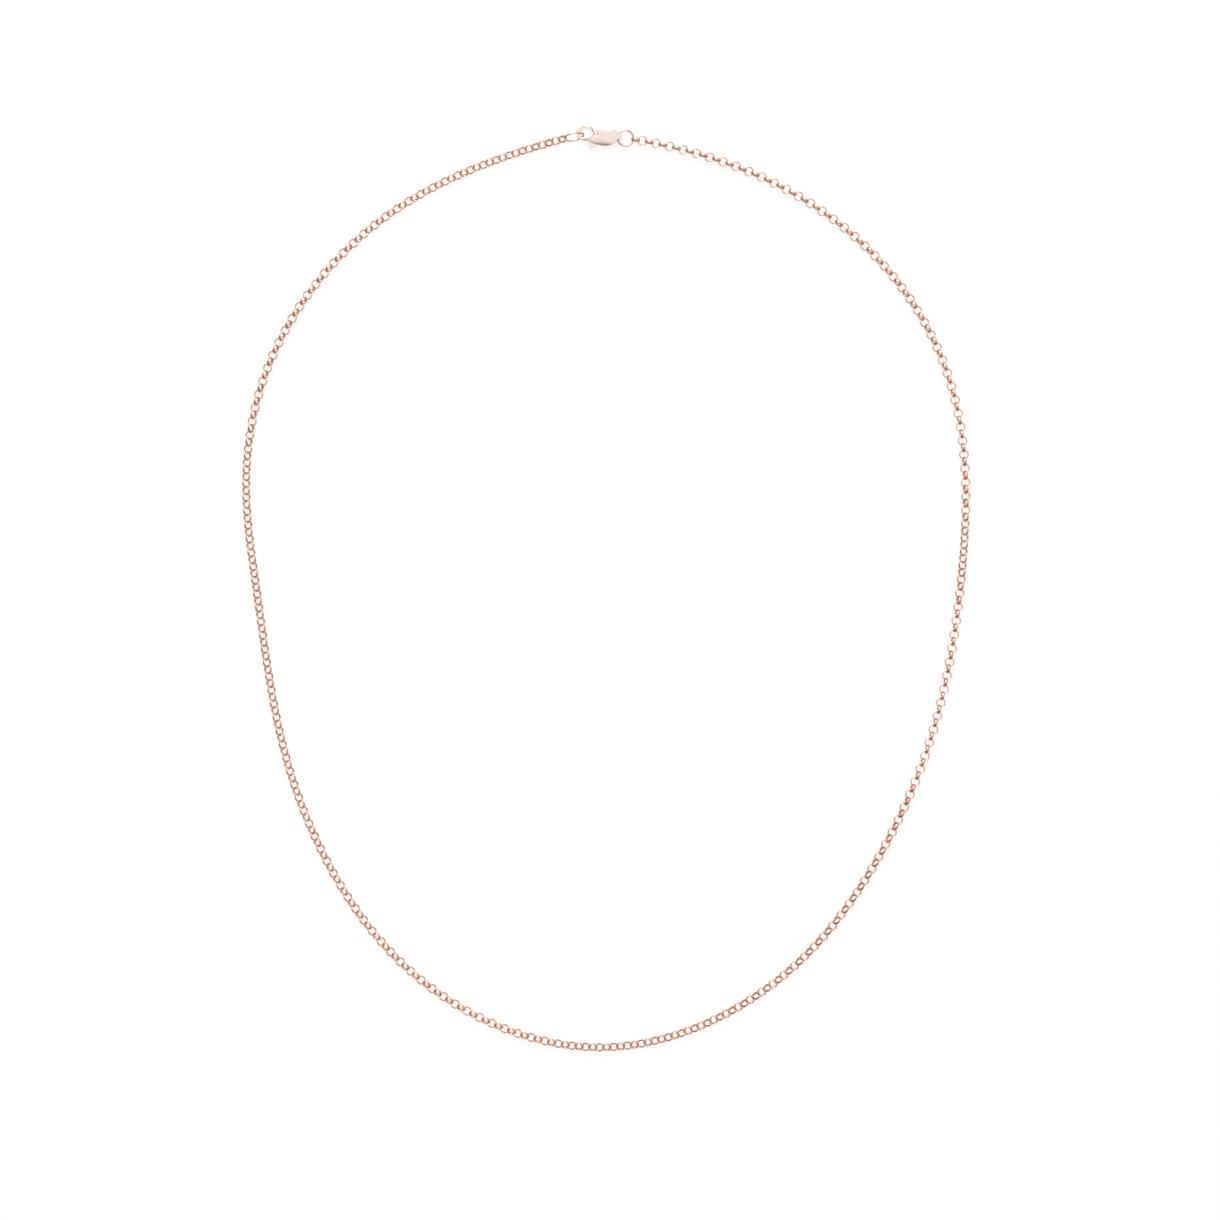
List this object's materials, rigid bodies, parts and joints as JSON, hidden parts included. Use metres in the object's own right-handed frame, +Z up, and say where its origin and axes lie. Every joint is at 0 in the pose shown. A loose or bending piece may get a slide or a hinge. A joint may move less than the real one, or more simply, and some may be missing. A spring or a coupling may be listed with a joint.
{
  "type": "chain necklace",
  "caption": "Fine round belcher link chain necklace lying as an open oval, closed at the back by a small lobster claw on a jump ring and an oval end ring.",
  "frame": {"origin": "centre of the loop's bounding box, on the table it lies on", "axes": "+X to the right as worn outwards from the clasp's hooked end, +Y from the chain's front towards the clasp, +Z up off the table"},
  "size_m": [0.1273, 0.1619, 0.0017],
  "materials": {
    "chain_metal": "polished rose gold",
    "clasp_metal": "polished rose gold",
    "ring_metal": "polished rose gold",
    "lever_metal": "polished rose gold",
    "pin_metal": "polished rose gold",
    "spring_metal": "bright spring strip"
  },
  "bodies": {
    "front": {"chain_front": "chain_metal"},
    "right_01": {"chain_right_01": "chain_metal", "chain_right_02": "chain_metal"},
    "left_01": {"chain_left_01": "chain_metal", "chain_left_02": "chain_metal"},
    "right_03": {"chain_right_03": "chain_metal", "chain_right_04": "chain_metal"},
    "left_03": {"chain_left_03": "chain_metal", "chain_left_04": "chain_metal"},
    "right_05": {"chain_right_05": "chain_metal", "chain_right_06": "chain_metal"},
    "left_05": {"chain_left_05": "chain_metal", "chain_left_06": "chain_metal"},
    "right_07": {"chain_right_07": "chain_metal"},
    "left_07": {"chain_left_07": "chain_metal"},
    "right_08": {"chain_right_08": "chain_metal"},
    "left_08": {"chain_left_08": "chain_metal"},
    "right_09": {"chain_right_09": "chain_metal"},
    "left_09": {"chain_left_09": "chain_metal"},
    "right_10": {"chain_right_10": "chain_metal"},
    "left_10": {"chain_left_10": "chain_metal"},
    "right_11": {"chain_right_11": "chain_metal"},
    "left_11": {"chain_left_11": "chain_metal"},
    "right_12": {"chain_right_12": "chain_metal"},
    "left_12": {"chain_left_12": "chain_metal"},
    "right_13": {"chain_right_13": "chain_metal"},
    "left_13": {"chain_left_13": "chain_metal"},
    "right_14": {"chain_right_14": "chain_metal"},
    "left_14": {"chain_left_14": "chain_metal"},
    "right_15": {"chain_right_15": "chain_metal"},
    "left_15": {"chain_left_15": "chain_metal"},
    "right_16": {"chain_right_16": "chain_metal"},
    "left_16": {"chain_left_16": "chain_metal"},
    "right_17": {"chain_right_17": "chain_metal"},
    "left_17": {"chain_left_17": "chain_metal"},
    "right_18": {"chain_right_18": "chain_metal"},
    "left_18": {"chain_left_18": "chain_metal"},
    "right_19": {"chain_right_19": "chain_metal"},
    "left_19": {"chain_left_19": "chain_metal"},
    "right_20": {"chain_right_20": "chain_metal"},
    "left_20": {"chain_left_20": "chain_metal"},
    "right_21": {"chain_right_21": "chain_metal"},
    "left_21": {"chain_left_21": "chain_metal"},
    "right_22": {"chain_right_22": "chain_metal"},
    "left_22": {"chain_left_22": "chain_metal"},
    "right_23": {"chain_right_23": "chain_metal"},
    "left_23": {"chain_left_23": "chain_metal"},
    "right_24": {"chain_right_24": "chain_metal"},
    "left_24": {"chain_left_24": "chain_metal"},
    "right_25": {"chain_right_25": "chain_metal"},
    "left_25": {"chain_left_25": "chain_metal"},
    "jump_ring": {"jump_ring": "ring_metal"},
    "claw": {"clasp_body": "clasp_metal", "clasp_rivet": "pin_metal", "clasp_spring": "spring_metal"},
    "lever": {"clasp_lever": "lever_metal"},
    "end_ring": {"end_ring": "ring_metal"}
  },
  "joints": [
    {"name": "fold_01", "type": "hinge", "parent": "front", "child": "right_01", "pos_m": [0.00795, -0.07912, 0.00074], "axis": [0.999, 0.0447, -0.0017], "range_deg": [0, 15]},
    {"name": "fold_01_left", "type": "hinge", "parent": "front", "child": "left_01", "pos_m": [-0.00653, -0.07977, 0.00077], "axis": [0.999, 0.0447, -0.0017], "range_deg": [0, 15]},
    {"name": "fold_03", "type": "hinge", "parent": "right_01", "child": "right_03", "pos_m": [0.02364, -0.07278, 0.0008], "axis": [0.9992, 0.0405, -0.0004], "range_deg": [0, 15]},
    {"name": "fold_03_left", "type": "hinge", "parent": "left_01", "child": "left_03", "pos_m": [-0.02265, -0.07465, 0.00082], "axis": [0.9992, 0.0405, -0.0004], "range_deg": [0, 15]},
    {"name": "fold_05", "type": "hinge", "parent": "right_03", "child": "right_05", "pos_m": [0.03679, -0.06211, 0.00082], "axis": [0.9993, 0.0362, 0.0002], "range_deg": [0, 15]},
    {"name": "fold_05_left", "type": "hinge", "parent": "left_03", "child": "left_05", "pos_m": [-0.03639, -0.06476, 0.0008], "axis": [0.9993, 0.0362, 0.0002], "range_deg": [0, 15]},
    {"name": "fold_07", "type": "hinge", "parent": "right_05", "child": "right_07", "pos_m": [0.04678, -0.0484, 0.00084], "axis": [0.9995, 0.0312, 0.0006], "range_deg": [0, 15]},
    {"name": "fold_07_left", "type": "hinge", "parent": "left_05", "child": "left_07", "pos_m": [-0.04671, -0.05132, 0.00078], "axis": [0.9995, 0.0312, 0.0006], "range_deg": [0, 15]},
    {"name": "fold_20", "type": "hinge", "parent": "right_19", "child": "right_20", "pos_m": [0.04907, 0.05598, 0.00086], "axis": [0.9997, 0.0225, 0], "range_deg": [0, 15]},
    {"name": "fold_20_left", "type": "hinge", "parent": "left_19", "child": "left_20", "pos_m": [-0.05037, 0.05375, 0.00085], "axis": [0.9997, 0.0225, 0], "range_deg": [0, 15]},
    {"name": "fold_21", "type": "hinge", "parent": "right_20", "child": "right_21", "pos_m": [0.04306, 0.06198, 0.00087], "axis": [0.9997, 0.0225, 0.0002], "range_deg": [0, 15]},
    {"name": "fold_21_left", "type": "hinge", "parent": "left_20", "child": "left_21", "pos_m": [-0.04463, 0.06, 0.00085], "axis": [0.9997, 0.0225, 0.0002], "range_deg": [0, 15]},
    {"name": "fold_22", "type": "hinge", "parent": "right_21", "child": "right_22", "pos_m": [0.03627, 0.06707, 0.00087], "axis": [0.9997, 0.0224, 0.0005], "range_deg": [0, 15]},
    {"name": "fold_22_left", "type": "hinge", "parent": "left_21", "child": "left_22", "pos_m": [-0.03808, 0.06541, 0.00083], "axis": [0.9997, 0.0224, 0.0005], "range_deg": [0, 15]},
    {"name": "fold_23", "type": "hinge", "parent": "right_22", "child": "right_23", "pos_m": [0.02886, 0.07123, 0.00087], "axis": [0.9997, 0.0228, 0.0009], "range_deg": [0, 15]},
    {"name": "fold_23_left", "type": "hinge", "parent": "left_22", "child": "left_23", "pos_m": [-0.03085, 0.06987, 0.00081], "axis": [0.9997, 0.0228, 0.0009], "range_deg": [0, 15]},
    {"name": "fold_24", "type": "hinge", "parent": "right_23", "child": "right_24", "pos_m": [0.02102, 0.0745, 0.00087], "axis": [0.9997, 0.0231, 0.0015], "range_deg": [0, 15]},
    {"name": "fold_24_left", "type": "hinge", "parent": "left_23", "child": "left_24", "pos_m": [-0.02316, 0.07348, 0.0008], "axis": [0.9997, 0.0231, 0.0015], "range_deg": [0, 15]},
    {"name": "fold_25", "type": "hinge", "parent": "right_24", "child": "right_25", "pos_m": [0.01289, 0.07695, 0.00087], "axis": [0.9998, 0.0194, 0.0036], "range_deg": [0, 15]},
    {"name": "fold_25_left", "type": "hinge", "parent": "left_24", "child": "left_25", "pos_m": [-0.01519, 0.07641, 0.00077], "axis": [0.9998, 0.0194, 0.0036], "range_deg": [0, 15]},
    {"name": "sway_1", "type": "hinge", "parent": "right_07", "child": "right_08", "pos_m": [0.05075, -0.04089, 0.00085], "axis": [0, 0, 1], "range_deg": [-5, 5]},
    {"name": "sway_1_right_back", "type": "hinge", "parent": "right_08", "child": "right_09", "pos_m": [0.05435, -0.0332, 0.00086], "axis": [0, 0, 1], "range_deg": [-5, 5]},
    {"name": "sway_1_left", "type": "hinge", "parent": "left_17", "child": "left_18", "pos_m": [-0.05886, 0.0391, 0.00085], "axis": [0, 0, 1], "range_deg": [-5, 5]},
    {"name": "sway_1_left_back", "type": "hinge", "parent": "left_18", "child": "left_19", "pos_m": [-0.05526, 0.04679, 0.00086], "axis": [0, 0, 1], "range_deg": [-5, 5]},
    {"name": "sway_2", "type": "hinge", "parent": "right_09", "child": "right_10", "pos_m": [0.05729, -0.02518, 0.00086], "axis": [0, 0, 1], "range_deg": [-5, 5]},
    {"name": "sway_2_right_back", "type": "hinge", "parent": "right_10", "child": "right_11", "pos_m": [0.05899, -0.01687, 0.00088], "axis": [0, 0, 1], "range_deg": [-5, 5]},
    {"name": "sway_2_left", "type": "hinge", "parent": "left_15", "child": "left_16", "pos_m": [-0.06295, 0.02269, 0.00081], "axis": [0, 0, 1], "range_deg": [-5, 5]},
    {"name": "sway_2_left_back", "type": "hinge", "parent": "left_16", "child": "left_17", "pos_m": [-0.06125, 0.03099, 0.00083], "axis": [0, 0, 1], "range_deg": [-5, 5]},
    {"name": "sway_3", "type": "hinge", "parent": "right_11", "child": "right_12", "pos_m": [0.06128, -0.00857, 0.00086], "axis": [0, 0, 1], "range_deg": [-5, 5]},
    {"name": "sway_3_right_back", "type": "hinge", "parent": "right_12", "child": "right_13", "pos_m": [0.0614, -0.00014, 0.00085], "axis": [0, 0, 1], "range_deg": [-5, 5]},
    {"name": "sway_3_left", "type": "hinge", "parent": "left_13", "child": "left_14", "pos_m": [-0.06242, 0.00571, 0.00075], "axis": [0, 0, 1], "range_deg": [-5, 5]},
    {"name": "sway_3_left_back", "type": "hinge", "parent": "left_14", "child": "left_15", "pos_m": [-0.06229, 0.01414, 0.00074], "axis": [0, 0, 1], "range_deg": [-5, 5]},
    {"name": "sway_4", "type": "hinge", "parent": "right_13", "child": "right_14", "pos_m": [0.06301, 0.00834, 0.00079], "axis": [0, 0, 1], "range_deg": [-5, 5]},
    {"name": "sway_4_right_back", "type": "hinge", "parent": "right_14", "child": "right_15", "pos_m": [0.06253, 0.01679, 0.00083], "axis": [0, 0, 1], "range_deg": [-5, 5]},
    {"name": "sway_4_left", "type": "hinge", "parent": "left_11", "child": "left_12", "pos_m": [-0.05991, -0.01115, 0.00072], "axis": [0, 0, 1], "range_deg": [-5, 5]},
    {"name": "sway_4_left_back", "type": "hinge", "parent": "left_12", "child": "left_13", "pos_m": [-0.06038, -0.0027, 0.00076], "axis": [0, 0, 1], "range_deg": [-5, 5]},
    {"name": "sway_5", "type": "hinge", "parent": "right_15", "child": "right_16", "pos_m": [0.06247, 0.02531, 0.00087], "axis": [0, 0, 1], "range_deg": [-5, 5]},
    {"name": "sway_5_right_back", "type": "hinge", "parent": "right_16", "child": "right_17", "pos_m": [0.06081, 0.03363, 0.00087], "axis": [0, 0, 1], "range_deg": [-5, 5]},
    {"name": "sway_5_left", "type": "hinge", "parent": "left_09", "child": "left_10", "pos_m": [-0.05644, -0.02783, 0.00075], "axis": [0, 0, 1], "range_deg": [-5, 5]},
    {"name": "sway_5_left_back", "type": "hinge", "parent": "left_10", "child": "left_11", "pos_m": [-0.0581, -0.0195, 0.00075], "axis": [0, 0, 1], "range_deg": [-5, 5]},
    {"name": "sway_6", "type": "hinge", "parent": "right_17", "child": "right_18", "pos_m": [0.05793, 0.04158, 0.00086], "axis": [0, 0, 1], "range_deg": [-5, 5]},
    {"name": "sway_6_right_back", "type": "hinge", "parent": "right_18", "child": "right_19", "pos_m": [0.05433, 0.04926, 0.00085], "axis": [0, 0, 1], "range_deg": [-5, 5]},
    {"name": "sway_6_left", "type": "hinge", "parent": "left_07", "child": "left_08", "pos_m": [-0.05048, -0.04371, 0.00077], "axis": [0, 0, 1], "range_deg": [-5, 5]},
    {"name": "sway_6_left_back", "type": "hinge", "parent": "left_08", "child": "left_09", "pos_m": [-0.05408, -0.03604, 0.00076], "axis": [0, 0, 1], "range_deg": [-5, 5]},
    {"name": "jump_ring_swivel", "type": "hinge", "parent": "right_25", "child": "jump_ring", "pos_m": [0.0046, 0.07864, 0.00087], "axis": [-0.9957, 0.0926, 0], "range_deg": [-6, 15]},
    {"name": "claw_roll", "type": "hinge", "parent": "jump_ring", "child": "claw", "pos_m": [0.00227, 0.07902, 0.00087], "axis": [-0.9978, 0.0668, 0], "range_deg": [-6, 15]},
    {"name": "lever_pivot", "type": "hinge", "parent": "claw", "child": "lever", "pos_m": [-0.00169, 0.07947, 0.00087], "axis": [0, 0, 1], "range_deg": [0, 15], "stiffness_Nm_per_rad": 0.0002, "springref_deg": -20.05},
    {"name": "end_ring_roll", "type": "hinge", "parent": "left_25", "child": "end_ring", "pos_m": [-0.00709, 0.07876, 0.00087], "axis": [0.9748, 0.2233, 0], "range_deg": [-6, 15]}
  ],
  "couplings": [
    {"joint": "fold_01_left", "follows": "fold_01", "ratio": 1},
    {"joint": "fold_03_left", "follows": "fold_03", "ratio": 1},
    {"joint": "fold_05_left", "follows": "fold_05", "ratio": 1},
    {"joint": "fold_07_left", "follows": "fold_07", "ratio": 1},
    {"joint": "fold_20_left", "follows": "fold_20", "ratio": 1},
    {"joint": "fold_21_left", "follows": "fold_21", "ratio": 1},
    {"joint": "fold_22_left", "follows": "fold_22", "ratio": 1},
    {"joint": "fold_23_left", "follows": "fold_23", "ratio": 1},
    {"joint": "fold_24_left", "follows": "fold_24", "ratio": 1},
    {"joint": "fold_25_left", "follows": "fold_25", "ratio": 1},
    {"joint": "sway_1_right_back", "follows": "sway_1", "ratio": -1},
    {"joint": "sway_1_left", "follows": "sway_1", "ratio": 1},
    {"joint": "sway_1_left_back", "follows": "sway_1", "ratio": -1},
    {"joint": "sway_2_right_back", "follows": "sway_2", "ratio": -1},
    {"joint": "sway_2_left", "follows": "sway_2", "ratio": 1},
    {"joint": "sway_2_left_back", "follows": "sway_2", "ratio": -1},
    {"joint": "sway_3_right_back", "follows": "sway_3", "ratio": -1},
    {"joint": "sway_3_left", "follows": "sway_3", "ratio": 1},
    {"joint": "sway_3_left_back", "follows": "sway_3", "ratio": -1},
    {"joint": "sway_4_right_back", "follows": "sway_4", "ratio": -1},
    {"joint": "sway_4_left", "follows": "sway_4", "ratio": 1},
    {"joint": "sway_4_left_back", "follows": "sway_4", "ratio": -1},
    {"joint": "sway_5_right_back", "follows": "sway_5", "ratio": -1},
    {"joint": "sway_5_left", "follows": "sway_5", "ratio": 1},
    {"joint": "sway_5_left_back", "follows": "sway_5", "ratio": -1},
    {"joint": "sway_6_right_back", "follows": "sway_6", "ratio": -1},
    {"joint": "sway_6_left", "follows": "sway_6", "ratio": 1},
    {"joint": "sway_6_left_back", "follows": "sway_6", "ratio": -1}
  ]
}
